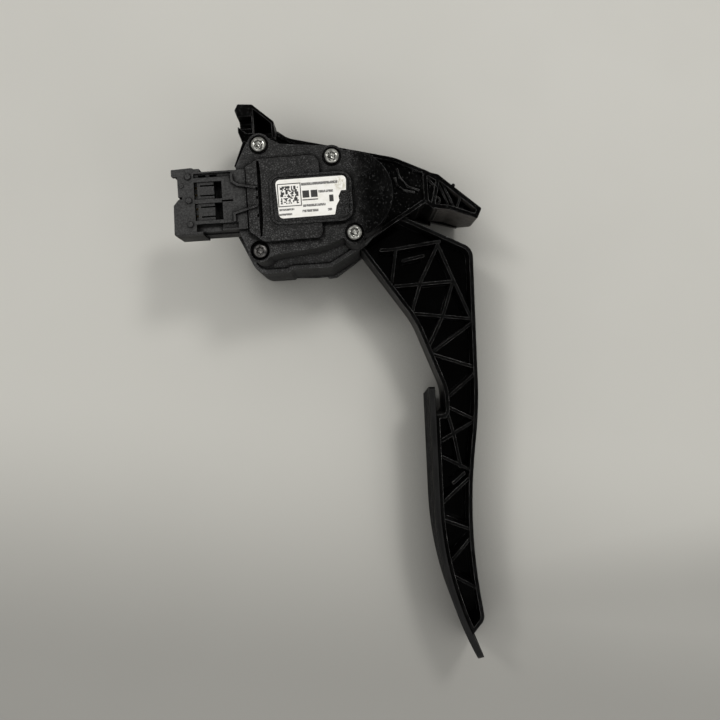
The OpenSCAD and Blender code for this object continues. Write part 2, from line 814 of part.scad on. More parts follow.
// Housing: the tub round the springs and hub, the sensor chamber on top of it, lug and ear
module housing() color(black) {
    chamber = inset(cover_corners, cover_step);
    difference() {
        union() {
            difference() {
                slab(housing_corners, lid_t, rim_z);
                slab(inset(housing_corners, rim_w), near_z, rim_z + 1);
                slab(inset(housing_corners, wall), 0, chamber_top);
            }
            friction_track();
            idle_rib();
            // chamber wall swelling out between the ear and the socket
            slab([[-52, 16.4, 0.5], [-45, 16.4, 0], [-42, 26, 0], [-47.1, 28, 0.5]],
                near_z - 1, chamber_rim_z - 2);
            translate([0, 0, near_z - 0.5]) linear_extrude(1.3) for (r = wall_ribs) run_of_bars(r, 0.7);
            slab(chamber, near_z - 1, chamber_rim_z);
            translate([0, 0, near_z - 1]) cylinder(r = cover_r - cover_step, h = chamber_rim_z - near_z + 1);
            for (s = screws) screw_boss(s, near_z - 1, chamber_rim_z);
            stop_lug();
            ear();
            ear_gusset();
        }
        // sensor chamber
        difference() {
            translate([0, 0, near_z]) linear_extrude(chamber_rim_z) {
                outline(inset(cover_corners, cover_step + wall));
                circle(r = cover_r - cover_step - wall);
            }
            for (s = screws) screw_boss(s, 0, chamber_rim_z + 1);
            for (p = board_posts) translate([p[0], p[1], 0]) cylinder(r = 2, h = board_z);
            cylinder(r = boss_r, h = near_boss_z);
        }
        // notch for the plug socket
        box([-60, -socket_w - 0.1, socket_z - 0.1], [-46, socket_w + 0.1, chamber_rim_z + 1]);
        for (s = screws) translate([s[0], s[1], chamber_rim_z - shank_l])
            cylinder(r = shank_r, h = shank_l + 1);
        cylinder(r = bush_outer, h = near_boss_z + 1);
        arm_window(0, chamber_top);
        translate([-spring_x, inner_floor(), arm_mid_z]) rotate([-90, 0, 0])
            cylinder(r = outer_coil_r + outer_wire / 2 + 0.6, h = 2);
    }
}

module housing_lid() color(black) {
    difference() {
        union() {
            slab(lid_corners, 0, lid_t);
            translate([0, 0, lid_t - eps]) linear_extrude(1.6) difference() {
                outline(inset(housing_corners, wall + 0.1));
                outline(inset(housing_corners, wall + 1.4));
            }
            cylinder(r = boss_r, h = far_boss_z);
        }
        translate([0, 0, lid_t]) cylinder(r = bush_outer, h = far_boss_z);
        arm_window(lid_t, arm_lift);
    }
}

module cover_plan() {
    outline(cover_corners);
    circle(r = cover_r);
    for (s = screws) translate(s) circle(r = lobe_r);
}

socket_back = 62;
terminal_z = board_z + board_t + 2;
terminal_gap = 0.03;
pin_row_x = 44.6;
blade_l = 10;
function terminal_y(i) = (i - (terminal_n - 1) / 2) * terminal_pitch;

module cover_gasket() color("#101010") translate([0, 0, chamber_rim_z]) linear_extrude(gasket_t)
    difference() {
        union() {
            outline(inset(cover_corners, 1.2));
            circle(r = cover_r - 1.2);
        }
        outline(inset(cover_corners, 2.6));
        circle(r = cover_r - 2.6);
        for (s = screws) translate(s) circle(r = shank_r + 0.4);
        translate([-60, -socket_w]) square([14, 2 * socket_w]);
    }

// One window in the socket's near face: bars with slots between them, a gap at the left end and a
// deeper pocket at the right one
module socket_window(y0, y1) {
    left = -socket_x + 9.8;
    pocket = -60.4;
    right = -56.8;
    slit = 0.65;
    box([left, y0, socket_top - 0.4], [pocket, y1, socket_top + 1]);
    box([left, y0, socket_top - 3], [left + 1.4, y1, socket_top + 1]);
    box([pocket, y0, socket_top - 5], [right, y1, socket_top + 1]);
    for (f = [0.22, 0.78]) translate([left + 2.6, y0 + f * (y1 - y0) - slit / 2, socket_top - 2.2])
        cube([pocket - left - 2.5, slit, 4]);
}

// Plug socket moulded onto the cover
module socket_body() {
    w = socket_w;
    x = -socket_x;
    flank_x = x + 12.6;
    difference() {
        union() {
            box([x + 2.6, -w, socket_z], [-46.2, w, socket_top]);
            // lower block of the mouth, and the latch ear above it
            slab([[x, -w, 0.6], [x + 5, -w, 0], [x + 5, 1.8, 0], [x + 3, 1.8, 0], [x + 0.4, -1.2, 0.5]],
                socket_z, socket_top);
            slab([
                [x, w - 2.9, 0.3],
                [flank_x, w - 2.9, 0],
                [flank_x, w - 1.4, 0],
                [x + 9.2, w + 0.6, 2],
                [x, w + 0.2, 0.5]
            ], socket_z, socket_top);
        }
        // cavity for the plug
        box([x - 1, -w + socket_wall, socket_z + socket_wall],
            [-socket_back, w - socket_wall, socket_top - 2.6]);
        // chamfered corner of the near side
        translate([0, 0, socket_top]) rotate([0, 90, 0]) linear_extrude(200, center = true)
            polygon([[0, -w - 1], [0, -w + 0.6], [0.6, -w], [1, -w - 1]]);
        socket_window(0.9, 8.7);
        socket_window(-8.5, -0.8);
        box([-57.2, -0.6, socket_top - 1.2], [-52, 0.2, socket_top + 1]);
        // notch beside the lower block
        box([x + 2, 1.4, socket_top - 2.4], [x + 4.4, 2.5, socket_top + 1]);
        // recesses outside the long rails
        box([-69.2, 10.5, socket_top - 0.8], [-52.6, 12.5, socket_top + 1]);
        for (f = [-67.2, -62.2]) box([f, 10.9, socket_top - 2.2], [f + 3.4, 11.9, socket_top]);
        box([-69, -13.4, socket_top - 2.4], [-57.4, -10, socket_top + 1]);
        box([-57.6, -12.6, socket_top - 1], [-50.2, -10, socket_top + 1]);
        // narrowed flanks behind the mouth
        box([flank_x, -w - 1, socket_top - 7], [-40, -w + 1.4, socket_top + 1]);
        box([flank_x, -w - 1, socket_z - 1], [-50, -w + 0.8, socket_top + 1]);
        box([flank_x, w - 1.4, socket_top - 7], [-46, w + 1, socket_top + 1]);
        // terminal slots through the back wall
        for (i = [0 : terminal_n - 1]) translate([0, terminal_y(i), terminal_z])
            cube([140, terminal_t + 2 * terminal_gap, terminal_t + 2 * terminal_gap], center = true);
    }
    // round pips on the near face
    for (y = [11.2, 0.6, -10]) translate([x + 7.4, y, socket_top - 0.2]) cylinder(r = 1.15, h = 0.9);
    translate([x + 4.3, 7.4, socket_top - 0.2]) cylinder(r = 0.9, h = 0.5);
    // funnel ribs towards the plateau
    translate([0, 0, socket_top - 1]) linear_extrude(2) {
        run_of_bars([[-52.2, 11], [-52, 7.9], [-49.6, 6.3], [-41.3, 4.5]], 0.9);
        run_of_bars([[-51.7, -9.3], [-51.7, -6.3], [-41.6, -3.6]], 0.9);
    }
}

module sensor_cover() color(dark_grey) {
    slit_x = -40;
    difference() {
        union() {
            translate([0, 0, cover_z]) linear_extrude(cover_t) cover_plan();
            slab(plateau_corners, cover_z, plateau_z);
            slab(label_pad, cover_z, label_z);
            socket_body();
            // short raised bar on the round end
            translate([14, 0, cover_top - 0.1]) linear_extrude(0.5) bar([0, -2.2], [0, 2.1], 0.8);
        }
        slab(inset(label_pad, 0.9), plateau_z, label_z + 1);
        // long slit beside the socket, wider in the middle
        slab([[slit_x - 0.8, 16.4, 0], [slit_x - 0.9, -17.3, 0], [slit_x, -17.3, 0], [slit_x + 0.8, -10, 3],
            [slit_x + 0.8, 12, 3], [slit_x + 0.3, 16.4, 0]], plateau_z - 2.4, label_z + 1);
        for (y = [3.2, -0.6, -8.6]) box([slit_x - 1.8, y, plateau_z - 1.2], [slit_x, y + 1.5, label_z + 1]);
        for (i = [0 : len(screws) - 1]) translate([screws[i][0], screws[i][1], 0]) {
            translate([0, 0, cover_z - 1]) cylinder(r = shank_r + 0.2, h = cover_t + 2);
            translate([0, 0, screw_seat(i)]) cylinder(r = head_r + 0.9, h = 10);
        }
        // rotor and board side of the socket stays clear
        box([-48.6, -12, socket_z - 1], [slit_x, 12, cover_z]);
    }
}

module label() color("#f1efe9") slab(label_corners, plateau_z, plateau_z + label_t);

module cover_screw(i) color(steel) {
    translate([screws[i][0], screws[i][1], screw_seat(i)]) rotate_extrude() polygon([
        [0, -shank_l + 1],
        [shank_r - 0.6, -shank_l + 1],
        [shank_r, -shank_l + 1.8],
        [shank_r, 0],
        [head_r - 0.2, 0],
        [head_r, 0.3],
        [head_r, head_h * 0.45],
        [head_r * 0.86, head_h * 0.78],
        [head_r * 0.55, head_h * 0.95],
        [0, head_h]
    ]);
}

module circuit_board() color("#1d4d2e") difference() {
    translate([0, 0, board_z]) linear_extrude(board_t) difference() {
        union() {
            outline(inset(cover_corners, cover_step + wall + 0.4));
            circle(r = cover_r - cover_step - wall - 0.4);
        }
        for (s = screws) translate(s) circle(r = lobe_r);
        for (i = [0 : terminal_n - 1]) translate([-pin_row_x, terminal_y(i)])
            square(terminal_t + 2 * terminal_gap, center = true);
        translate([-60, -20]) square([14.2, 40]);
    }
}

// Chips: two that read the magnets, on the far side of the board, and the rest on its near side
module sensor_chips() color("#0c0c0c") {
    reader = [5, 4.4, 1.2];
    amplifier = [7, 7, 1.4];
    capacitor = [3.2, 1.6, 1];
    for (y = [-10.2, 10.2]) translate([0, y, board_z - reader[2] / 2]) cube(reader, center = true);
    translate([-22, 0, board_z + board_t + amplifier[2] / 2]) cube(amplifier, center = true);
    for (y = [-9, 9]) translate([-32, y, board_z + board_t + capacitor[2] / 2])
        cube(capacitor, center = true);
}

module connector_terminals() color("#c9a24a") {
    h = terminal_t / 2;
    for (i = [0 : terminal_n - 1]) translate([0, terminal_y(i), 0]) {
        box([-socket_back - blade_l, -h, terminal_z - h], [-pin_row_x + h, h, terminal_z + h]);
        box([-pin_row_x - h, -h, board_z - 1], [-pin_row_x + h, h, terminal_z + h]);
    }
}

module sensor_rotor() color("#3a3f45") difference() {
    union() {
        translate([0, 0, near_boss_z + 0.5])
            cylinder(r = pin_r + 3, h = rotor_z + rotor_t - near_boss_z + 0.5);
        translate([0, 0, rotor_z]) cylinder(r = rotor_r, h = rotor_t);
    }
    translate([0, 0, near_boss_z]) cylinder(r = pin_r, h = rotor_z + 2.8 - near_boss_z);
}

module rotor_magnets() color("#6b6f73") translate([0, 0, rotor_z + rotor_t]) linear_extrude(magnet_t)
    difference() {
        circle(r = rotor_r - 0.6);
        circle(r = rotor_r - 3.6);
        square([2.4, 60], center = true);
    }

housing();
housing_lid();
sensor_cover();
cover_gasket();
cover_screw(0);  // cover_screw_1
cover_screw(1);  // cover_screw_2
cover_screw(2);  // cover_screw_3
cover_screw(3);  // cover_screw_4
label();
circuit_board();
sensor_chips();
connector_terminals();
sensor_rotor();
rotor_magnets();
pivot_pin();
near_bush();
far_bush();
pedal_arm();
foot_plate();
friction_shoe();
idle_bumper();
spring_seat();
outer_return_spring();
inner_return_spring();
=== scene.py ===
import math

import bmesh
import bpy
from mathutils import Matrix, Vector


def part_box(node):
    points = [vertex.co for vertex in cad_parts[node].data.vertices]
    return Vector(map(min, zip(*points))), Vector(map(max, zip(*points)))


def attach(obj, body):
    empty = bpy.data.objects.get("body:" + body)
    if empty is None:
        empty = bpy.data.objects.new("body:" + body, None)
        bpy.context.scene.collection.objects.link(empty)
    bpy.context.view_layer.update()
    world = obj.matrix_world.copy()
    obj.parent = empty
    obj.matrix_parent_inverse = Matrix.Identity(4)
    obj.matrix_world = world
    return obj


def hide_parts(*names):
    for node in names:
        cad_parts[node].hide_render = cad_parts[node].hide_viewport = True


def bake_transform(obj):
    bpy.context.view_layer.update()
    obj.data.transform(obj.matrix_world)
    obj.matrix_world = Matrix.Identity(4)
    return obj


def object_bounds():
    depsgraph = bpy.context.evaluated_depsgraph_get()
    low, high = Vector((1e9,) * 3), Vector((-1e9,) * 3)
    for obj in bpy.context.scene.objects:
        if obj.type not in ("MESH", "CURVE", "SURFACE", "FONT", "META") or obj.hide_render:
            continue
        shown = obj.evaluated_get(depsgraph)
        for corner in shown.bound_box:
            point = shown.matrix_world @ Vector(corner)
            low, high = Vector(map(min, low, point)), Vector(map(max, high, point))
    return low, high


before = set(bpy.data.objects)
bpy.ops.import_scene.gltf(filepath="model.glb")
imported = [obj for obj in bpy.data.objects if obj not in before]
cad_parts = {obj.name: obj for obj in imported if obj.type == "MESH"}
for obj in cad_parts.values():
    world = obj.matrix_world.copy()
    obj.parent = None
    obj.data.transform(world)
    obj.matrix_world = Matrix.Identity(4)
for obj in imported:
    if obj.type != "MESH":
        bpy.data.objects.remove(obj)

cadLow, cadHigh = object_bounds()
mm = 0.001
print("frame: %d nodes loaded" % len(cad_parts))


# Camera: straight above the bench, turned a little against the housing

cameraLook = {
    "place": (-0.226 * mm, -74.716 * mm, 378 * mm),
    "turn": -3.6,           # degrees about the vertical
    "lens": 36.05, "sensor": 36,
    "clip": (0.01, 20),     # nearest and farthest, in metres
}

def makeCamera(look):
    lens = bpy.data.cameras.new("benchCamera")
    lens.lens = look["lens"]
    lens.sensor_width = look["sensor"]
    lens.clip_start, lens.clip_end = look["clip"]
    camera = bpy.data.objects.new("benchCamera", lens)
    camera.location = look["place"]
    camera.rotation_euler = (0, 0, math.radians(look["turn"]))
    bpy.context.scene.collection.objects.link(camera)
    bpy.context.scene.camera = camera

makeCamera(cameraLook)
bpy.context.scene.view_settings.view_transform = "Standard"
print("camera: placed")


# Node helpers. Noise scales are per metre. A band is the pair of values where a mask is 0 and 1,
# and two more values, where there are four, are the mask's levels instead of 0 and 1

def setSocket(tree, socket, value):
    if isinstance(value, bpy.types.NodeSocket):
        tree.links.new(value, socket)
    else:
        socket.default_value = value

def addNode(tree, kind, inputs=None, **settings):
    node = tree.nodes.new(kind)
    for key, value in settings.items():
        setattr(node, key, value)
    for key, value in (inputs or {}).items():
        setSocket(tree, node.inputs[key], value)
    return node

def calc(tree, operation, first, second=0.0, third=0.0):
    node = addNode(tree, "ShaderNodeMath", {0: first, 1: second, 2: third}, operation=operation)
    return node.outputs[0]

def plus(tree, first, second):
    return calc(tree, "ADD", first, second)

def minus(tree, first, second):
    return calc(tree, "SUBTRACT", first, second)

def times(tree, first, second):
    return calc(tree, "MULTIPLY", first, second)

def larger(tree, first, second):
    return calc(tree, "MAXIMUM", first, second)

def remap(tree, value, low, high, toLow=0.0, toHigh=1.0):
    inputs = {"Value": value, "From Min": low, "From Max": high, "To Min": toLow, "To Max": toHigh}
    return addNode(tree, "ShaderNodeMapRange", inputs, interpolation_type="SMOOTHSTEP").outputs[0]

def remapSpan(tree, value, span, toLow=0.0, toHigh=1.0):
    # as remap, for a length whose band is given in mm
    return remap(tree, value, span[0] * mm, span[1] * mm, toLow, toHigh)

def mixColour(tree, factor, first, second, blend="MIX"):
    # sockets 0, 6 and 7 are the factor and the two colours of a colour mix
    mix = addNode(tree, "ShaderNodeMix", data_type="RGBA", blend_type=blend)
    for socket, value in ((0, factor), (6, first), (7, second)):
        setSocket(tree, mix.inputs[socket], value)
    return mix.outputs[2]

def noiseAt(tree, place, scale, detail=4.0, rough=0.55, warp=0.0):
    inputs = {"Vector": place, "Scale": scale, "Detail": detail, "Roughness": rough, "Distortion": warp}
    return addNode(tree, "ShaderNodeTexNoise", inputs).outputs[0]

def stretched(tree, place, scale, turn=(0, 0, 0)):
    inputs = {"Vector": place, "Scale": scale, "Rotation": turn}
    return addNode(tree, "ShaderNodeMapping", inputs).outputs[0]

def ownPlace(tree):
    # object coordinates, so that a finish stays with its piece in every pose
    return addNode(tree, "ShaderNodeTexCoord").outputs["Object"]

def axesOf(tree, vector):
    return addNode(tree, "ShaderNodeSeparateXYZ", {0: vector}).outputs[:]

def faceNormal(tree):
    return addNode(tree, "ShaderNodeNewGeometry").outputs["Normal"]

def roundedNormal(tree, radius):
    return addNode(tree, "ShaderNodeBevel", {"Radius": radius * mm}, samples=4).outputs[0]

def distanceTo(tree, place, centre):
    inputs = {0: place, 1: [value * mm for value in centre]}
    return addNode(tree, "ShaderNodeVectorMath", inputs, operation="DISTANCE").outputs["Value"]

def openness(tree, reach, samples=4):
    # 1 on an open face, less where something stands closer than the reach
    inputs = {"Distance": reach * mm}
    return addNode(tree, "ShaderNodeAmbientOcclusion", inputs, samples=samples).outputs["AO"]

def inBox(tree, across, along, centre, size):
    # 1 inside a rectangle of the XY plane, 0 outside
    left = calc(tree, "COMPARE", across, centre[0] * mm, size[0] / 2 * mm)
    right = calc(tree, "COMPARE", along, centre[1] * mm, size[1] / 2 * mm)
    return times(tree, left, right)

pebbleLook = {"groove": (0.02, 0.30), "patchScale": 0.45, "patch": (0.35, 0.65, 0.35, 1.0)}

def pebbles(tree, place, size):
    # small domes with grooves between them, as on grained mouldings
    inputs = {"Vector": place, "Scale": 1 / (size * mm), "Randomness": 1.0}
    cells = addNode(tree, "ShaderNodeTexVoronoi", inputs, feature="DISTANCE_TO_EDGE").outputs["Distance"]
    patchy = noiseAt(tree, place, pebbleLook["patchScale"] / (size * mm), 3, 0.6)
    patchy = remap(tree, patchy, *pebbleLook["patch"])
    return times(tree, remap(tree, cells, *pebbleLook["groove"]), patchy)

def grey(level, warm=0.0):
    return (level * (1 + warm), level, level * (1 - warm), 1)

def newMaterial(name, metal=0.0):
    material = bpy.data.materials.new(name)
    material.use_nodes = True
    tree = material.node_tree
    tree.nodes.clear()
    shader = addNode(tree, "ShaderNodeBsdfPrincipled", {"Metallic": metal})
    out = addNode(tree, "ShaderNodeOutputMaterial")
    tree.links.new(shader.outputs[0], out.inputs[0])
    return material, tree, shader

def setShader(tree, shader, colour, rough, bump):
    setSocket(tree, shader.inputs["Base Color"], colour)
    setSocket(tree, shader.inputs["Roughness"], rough)
    setSocket(tree, shader.inputs["Normal"], bump.outputs[0])


# Plastics: base colour with cloudy variation, moulded grain, fine scratches, rubbed edges paled further as
# painted highlight, painted shade in creases, and dust

# edge is how far edges pale, partly as rubbed wear and mostly as painted highlight
plasticLook = {     # grain, depth, round and crease in mm
    "housingPlastic": {
        "dark": 0.0006, "pale": 0.0018, "rough": (0.10, 0.19), "grain": 0.9, "depth": 0.008,
        "edge": 0.50, "round": 0.42, "dust": 0.001, "scratch": 0.04, "shine": 0.15, "side": 0.28,
        "crease": 1.5, "open": 0.95},
    "armPlastic": {
        "dark": 0.0004, "pale": 0.0012, "rough": (0.09, 0.18), "grain": 1.8, "depth": 0.012,
        "edge": 0.90, "round": 0.34, "dust": 0.001, "scratch": 0.05, "shine": 0.34, "side": 0.28,
        "crease": 1.5, "open": 0.95},
    "coverPlastic": {
        "dark": 0.004, "pale": 0.014, "rough": (0.40, 0.54), "grain": 0.5, "depth": 0.060,
        "edge": 0.14, "round": 0.35, "dust": 0.010, "scratch": 0.05, "shine": 0.28, "side": 0.1,
        "crease": 2.4, "open": 1.10},
    "footPlatePlastic": {
        "dark": 0.0015, "pale": 0.0040, "rough": (0.40, 0.56), "grain": 0.5, "depth": 0.030,
        "edge": 0.10, "round": 0.3, "dust": 0.005, "scratch": 0.12, "shine": 0.24, "side": 0.15,
        "crease": 1.0, "open": 0.95},
}

plasticWear = {     # shared by all of them
    "cloudScale": 70, "cloudBand": (0.35, 0.65), "shadeBand": (0.3, 0.7),
    "fineShare": 0.6, "cellScale": 0.7, "warm": 0.02, "dustWarm": 0.05,
    "scratchScale": (2600, 60, 60), "scratchTurn": 0.35,            # turn in radians
    "scratchBand": (0.62, 0.70), "scratchPatch": (0.45, 0.65),
    "scratchPale": 0.16, "scratchTint": 0.3, "scratchRough": 0.5,
    "edgeBand": (0.985, 0.86), "edgeScale": 220, "edgePatch": (0.38, 0.62, 0.15, 1.0), "edgeRubAndHighlightPale": 0.30,
    "creaseWidth": 0.5, "creasePaintedShade": 0.2, "sideShine": 0.42,
    "speckScale": 900, "speckBand": (0.60, 0.72), "evenDust": 0.25, "levelBand": (0.5, 0.95),
    "dustScale": 45, "dustPatch": (0.4, 0.7, 0.15, 1.0), "dustPale": 0.30,
}
steepBand = (0.7, 0.4)      # how much a face looks up: level above the first, a wall below the second

def mouldedPlastic(name, look, addMarks):
    wear = plasticWear
    material, tree, shader = newMaterial(name)
    place = ownPlace(tree)
    normal = faceNormal(tree)
    rounded = roundedNormal(tree, look["round"])
    grain = look["grain"] * mm
    cloudy = noiseAt(tree, place, wear["cloudScale"])
    fine = noiseAt(tree, place, 1 / grain, 5, 0.65)
    cells = addNode(tree, "ShaderNodeTexVoronoi", {"Vector": place, "Scale": wear["cellScale"] / grain})
    texture = plus(tree, times(tree, fine, wear["fineShare"]),
                   times(tree, cells.outputs[0], 1 - wear["fineShare"]))

    # scratches run mostly along the part, thin and broken up
    streaks = noiseAt(tree, stretched(tree, place, wear["scratchScale"], (0, 0, wear["scratchTurn"])), 1, 2)
    streaks = remap(tree, streaks, *wear["scratchBand"])
    streaks = times(tree, streaks, remap(tree, cloudy, *wear["scratchPatch"]))

    # edges are where the rounded normal leaves the face's own one
    turned = addNode(tree, "ShaderNodeVectorMath", {0: rounded, 1: normal}, operation="DOT_PRODUCT")
    patchy = remap(tree, noiseAt(tree, place, wear["edgeScale"], 4, 0.6), *wear["edgePatch"])
    edges = times(tree, remap(tree, turned.outputs["Value"], *wear["edgeBand"]), patchy)

    # walls and hollows mirror less, hollows also get painted shade in their colour, and dust lies on level
    # faces
    upward = axesOf(tree, normal)[2]
    side = remap(tree, calc(tree, "ABSOLUTE", upward), *steepBand)
    hollowShade = remap(tree, openness(tree, look["crease"]),
                   look["open"] - wear["creaseWidth"], look["open"], wear["creasePaintedShade"], 1.0)
    specks = remap(tree, noiseAt(tree, place, wear["speckScale"], 3, 0.7), *wear["speckBand"])
    dust = times(tree, remap(tree, upward, *wear["levelBand"]), plus(tree, specks, wear["evenDust"]))
    dust = times(tree, dust, remap(tree, noiseAt(tree, place, wear["dustScale"], 5), *wear["dustPatch"]))

    shade = remap(tree, times(tree, plus(tree, cloudy, texture), 0.5), *wear["shadeBand"])
    colour = mixColour(tree, shade, grey(look["dark"]), grey(look["pale"], wear["warm"]))
    rubbedAndHighlit = grey(wear["edgeRubAndHighlightPale"], wear["warm"])
    dusty = grey(wear["dustPale"], wear["dustWarm"])
    scratched = grey(wear["scratchPale"])
    # rubbed edges, paled further as painted highlight
    colour = mixColour(tree, times(tree, edges, look["edge"]), colour, rubbedAndHighlit)
    colour = mixColour(tree, times(tree, dust, look["dust"]), colour, dusty)
    colour = mixColour(tree, times(tree, streaks, look["scratch"] * wear["scratchTint"]), colour, scratched)
    rough = remap(tree, cloudy, *wear["cloudBand"], *look["rough"])
    rough = plus(tree, rough, times(tree, streaks, look["scratch"] * wear["scratchRough"]))
    rough = plus(tree, rough, times(tree, dust, look["dust"]))

    glints = 0.0
    if addMarks:
        colour, rough, texture, glints = addMarks(tree, place, colour, rough, texture)
    # painted shade in creases and hollows, darkening the colour and the reflection
    colour = mixColour(tree, 1.0, colour, hollowShade, "MULTIPLY")
    rough = plus(tree, rough, times(tree, side, look["side"]))
    shine = remap(tree, larger(tree, edges, glints), 0.0, 1.0, look["shine"], 1.0)
    shine = times(tree, shine, remap(tree, side, 0.0, 1.0, 1.0, wear["sideShine"]))
    setSocket(tree, shader.inputs["Specular IOR Level"], times(tree, shine, hollowShade))
    bump = addNode(tree, "ShaderNodeBump", {
        "Height": texture, "Normal": rounded, "Distance": look["depth"] * mm, "Strength": 1.0})
    setShader(tree, shader, colour, rough, bump)
    return material


# Housing: dull where X and Y are low, glossy with a wrinkled skin elsewhere, and pale on the stop face as
# painted sheen

housingMarks = {
    "dullAcross": (16, 4), "dullAlong": (-10, -18),                 # in mm
    "dull": 0.125, "dullGroove": 0.4, "dullPebble": 1.1, "dullRough": 0.26,
    "wallCover": 0.6, "wallPaintedShade": 0.001,
    "wrinkle": 0.9, "glintBand": (0.62, 0.72), "glint": 9.0,
    # the stop face's pale level is painted sheen
    "stopAcross": (38, 41), "stopFacing": (-0.6, -0.85),            # in mm, and Y of the face's normal
    "stopScale": 300, "stopPatch": (0.3, 0.6, 0.6, 1.0), "stop": 0.075, "stopWarm": 0.08,
}

def housingFinish(tree, place, colour, rough, texture):
    marks = housingMarks
    across, along = axesOf(tree, place)[:2]
    sideways, upward = axesOf(tree, faceNormal(tree))[1:]

    # dull grained part, with painted shade on its walls
    dull = times(tree, remapSpan(tree, across, marks["dullAcross"]),
                 remapSpan(tree, along, marks["dullAlong"]))
    grain = mixColour(tree, pebbles(tree, place, marks["dullPebble"]),
                      grey(marks["dull"] * marks["dullGroove"]), grey(marks["dull"]))
    colour = mixColour(tree, dull, colour, grain)
    wall = times(tree, remap(tree, upward, *steepBand), marks["wallCover"])
    colour = mixColour(tree, times(tree, dull, wall), colour, grey(marks["wallPaintedShade"]))

    # stop face, the one that looks along negative Y on the lug, made pale as painted sheen
    stop = times(tree, remapSpan(tree, across, marks["stopAcross"]),
                 remap(tree, sideways, *marks["stopFacing"]))
    stop = times(tree, stop, remap(tree, noiseAt(tree, place, marks["stopScale"], 3), *marks["stopPatch"]))
    colour = mixColour(tree, stop, colour, grey(marks["stop"], marks["stopWarm"]))

    rough = plus(tree, rough, times(tree, dull, marks["dullRough"]))
    glints = noiseAt(tree, place, 1 / (marks["wrinkle"] * mm), 3, 0.6)
    glints = times(tree, remap(tree, glints, *marks["glintBand"]), minus(tree, 1.0, dull))
    texture = plus(tree, texture, times(tree, glints, marks["glint"]))
    return colour, rough, texture, glints


# Arm: rib tops and flange edge rougher as satin and paler as painted sheen, and the rest glossy

armMarks = {
    "top": (28.2, 29.2),                                            # heights in mm
    "topScale": 160, "topPatch": (0.35, 0.65, 0.15, 1.0),
    "satinSheen": 0.003, "satinSheenCover": 0.8, "satinRough": 0.09,
}

def armFinish(tree, place, colour, rough, texture):
    marks = armMarks
    top = remapSpan(tree, axesOf(tree, place)[2], marks["top"])
    top = times(tree, top, remap(tree, noiseAt(tree, place, marks["topScale"], 3), *marks["topPatch"]))
    # paler tops are painted sheen, with a rougher satin finish
    colour = mixColour(tree, times(tree, top, marks["satinSheenCover"]), colour, grey(marks["satinSheen"]))
    rough = plus(tree, rough, times(tree, top, marks["satinRough"]))
    return colour, rough, texture, 0.0


# Cover: darker and smoother at its round end, and wrinkled where the label is torn away, with painted sheen,
# and painted shade on walls and round one screw

coverMarks = {
    "smooth": (-8, 10),                                             # across, in mm
    "smoothCover": 0.96, "smoothShade": 0.001, "smoothRough": 0.28, "smoothTexture": 0.3,
    "smoothGlint": 0.8, "glintScale": 1100, "glintBand": (0.62, 0.72),
    "grained": (-49, -46), "pebble": 0.95, "grainDepth": 1.4,       # the socket beyond it is speckled
    "speckleScale": 1300, "speckle": (0.3, 0.7, 0.2, 0.8), "grainCover": 0.8, "grooveShade": 0.002,
    # painted sheen: the grain's colour grows paler towards negative X and Y
    "sheenAcross": (-5, -50), "sheenLevels": (0.050, 0.074),          # paler towards negative X
    "sheenAlong": (-10, -28), "sheenPalerBy": 0.035,                      # and towards negative Y
    "wallCover": 0.6, "wallPaintedShade": 0.002,
    # painted shade in the dish round the screw that sits deepest
    "dish": (-41.7, -23.1, 56), "dishEdge": (4.9, 4.3),             # round the aged screw
    "dishPaintedShade": 0.0008, "dishRough": 0.2,
    "residueCentre": (-3.0, -4.5), "residueSize": (7.5, 9.5),
    "residueCover": 0.6, "residueShade": 0.008, "residueRough": 0.22,
    "creaseScale": 700, "creaseDepth": 5.0,
}

